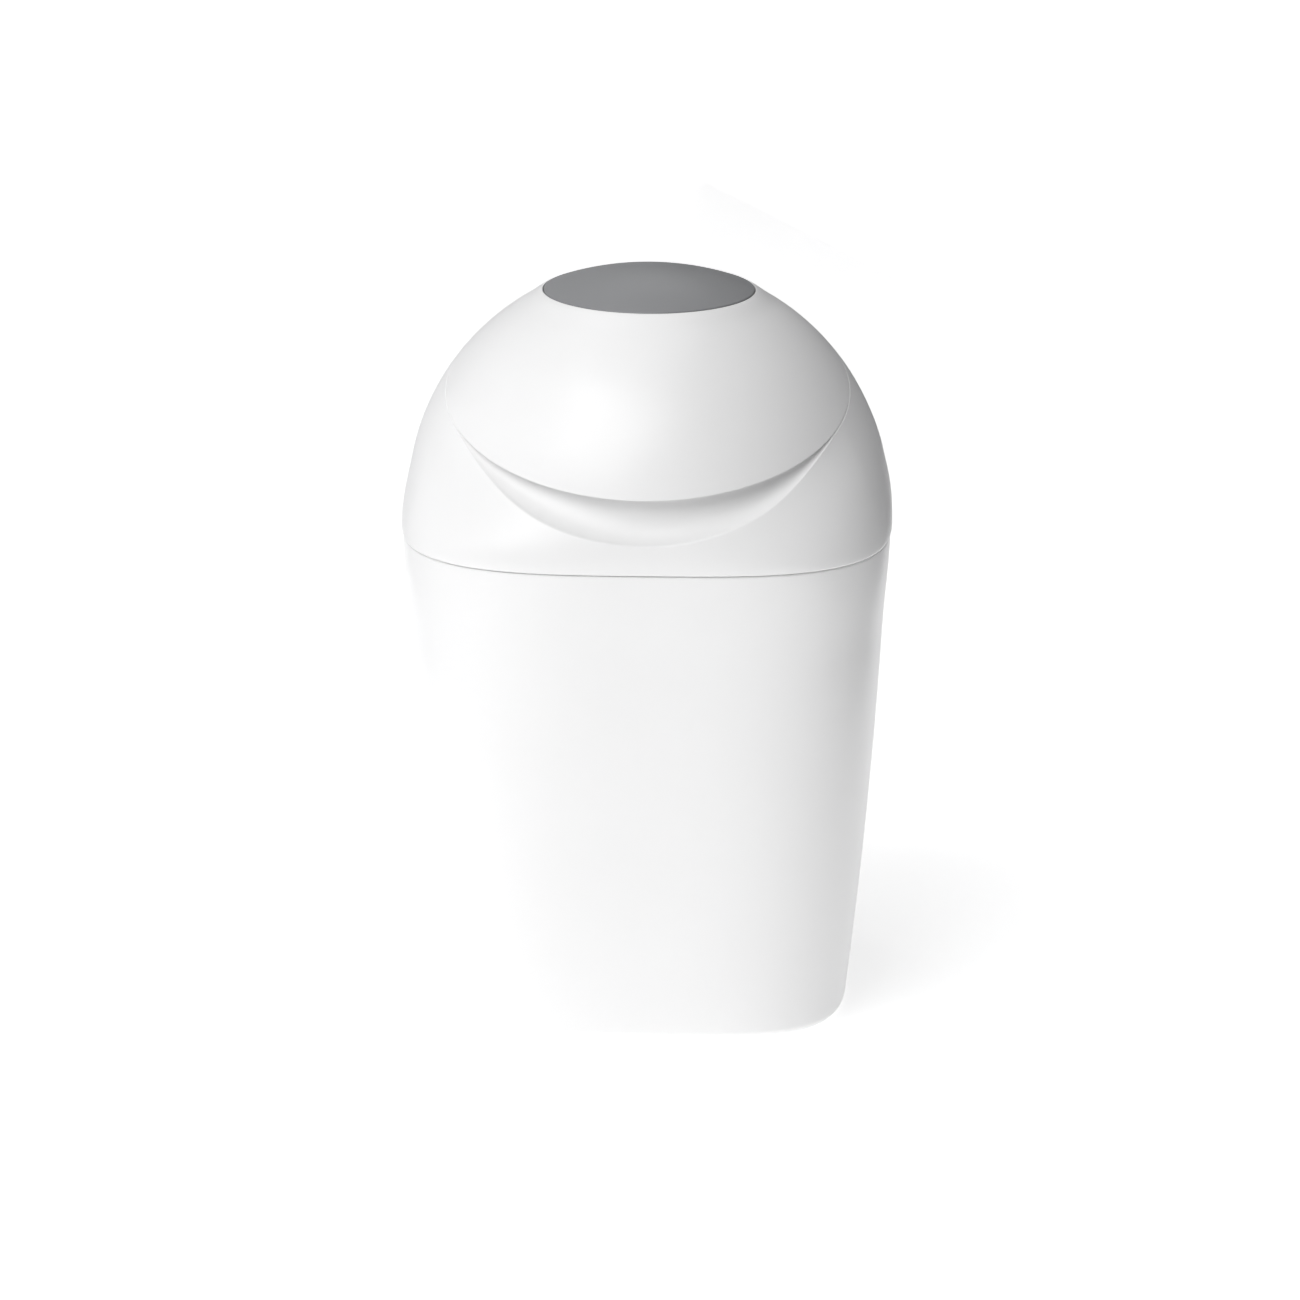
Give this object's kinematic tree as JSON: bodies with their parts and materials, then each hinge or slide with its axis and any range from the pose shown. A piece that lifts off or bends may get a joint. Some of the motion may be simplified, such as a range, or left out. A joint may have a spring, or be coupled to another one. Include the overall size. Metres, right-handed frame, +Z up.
{
  "type": "nappy bin",
  "caption": "Domed nappy bin with a hinged lid, a tip-back head, a film cassette that twists, a finger clamp and a slide cutter.",
  "frame": {"origin": "centre of the tub's base, on the floor", "axes": "+Z up, -Y towards the front with the finger recess, +X to the right seen from the front"},
  "size_m": [0.2572, 0.2678, 0.3891],
  "materials": {
    "white_shell": "moulded polypropylene, glossy",
    "grey_disc": "moulded, satin",
    "inner_white": "moulded, satin",
    "ring_plastic": "moulded, semi-gloss",
    "cassette_plastic": "moulded, thin wall",
    "clamp_plastic": "moulded, flexible",
    "cutter_plastic": "moulded, satin",
    "film": "thin pleated film",
    "seal_rubber": "soft, matt",
    "steel": "zinc plated",
    "blade_steel": "ground edge"
  },
  "bodies": {
    "base": {"tub": "white_shell", "head_hinge_pin": "steel"},
    "head": {"head_shell": "white_shell", "lid_hinge_pin": "steel", "cassette_well": "inner_white", "well_screws": "steel", "click_spring": "steel", "finger_clamp": "clamp_plastic", "clamp_retainer": "inner_white", "retainer_screws": "steel", "cutter_guide": "inner_white", "guide_screws": "steel", "snap_clip": "inner_white", "clip_screws": "steel"},
    "lid": {"dome_lid": "white_shell", "top_disc": "grey_disc", "lid_liner": "inner_white", "lid_seal": "seal_rubber", "liner_screws": "steel"},
    "cassette": {"twist_ring": "ring_plastic", "cassette_tub": "cassette_plastic", "cassette_cap": "cassette_plastic", "film_pack": "film", "film_sleeve": "film"},
    "cutter": {"cutter_carriage": "cutter_plastic", "cutter_blade": "blade_steel"}
  },
  "joints": [
    {"name": "head_tilt", "type": "hinge", "parent": "base", "child": "head", "pos_m": [0, 0.1342, 0.258], "axis": [-1, 0, 0], "range_deg": [0, 85]},
    {"name": "lid_open", "type": "hinge", "parent": "head", "child": "lid", "pos_m": [0, 0.07966, 0.36812], "axis": [-1, 0, 0], "range_deg": [0, 105]},
    {"name": "cassette_twist", "type": "hinge", "parent": "head", "child": "cassette", "pos_m": [0, 0, 0.2564], "axis": [0, 0, 1], "continuous": true},
    {"name": "cutter_slide", "type": "slide", "parent": "head", "child": "cutter", "axis": [1, 0, 0], "range_m": [0, 0.1]}
  ]
}
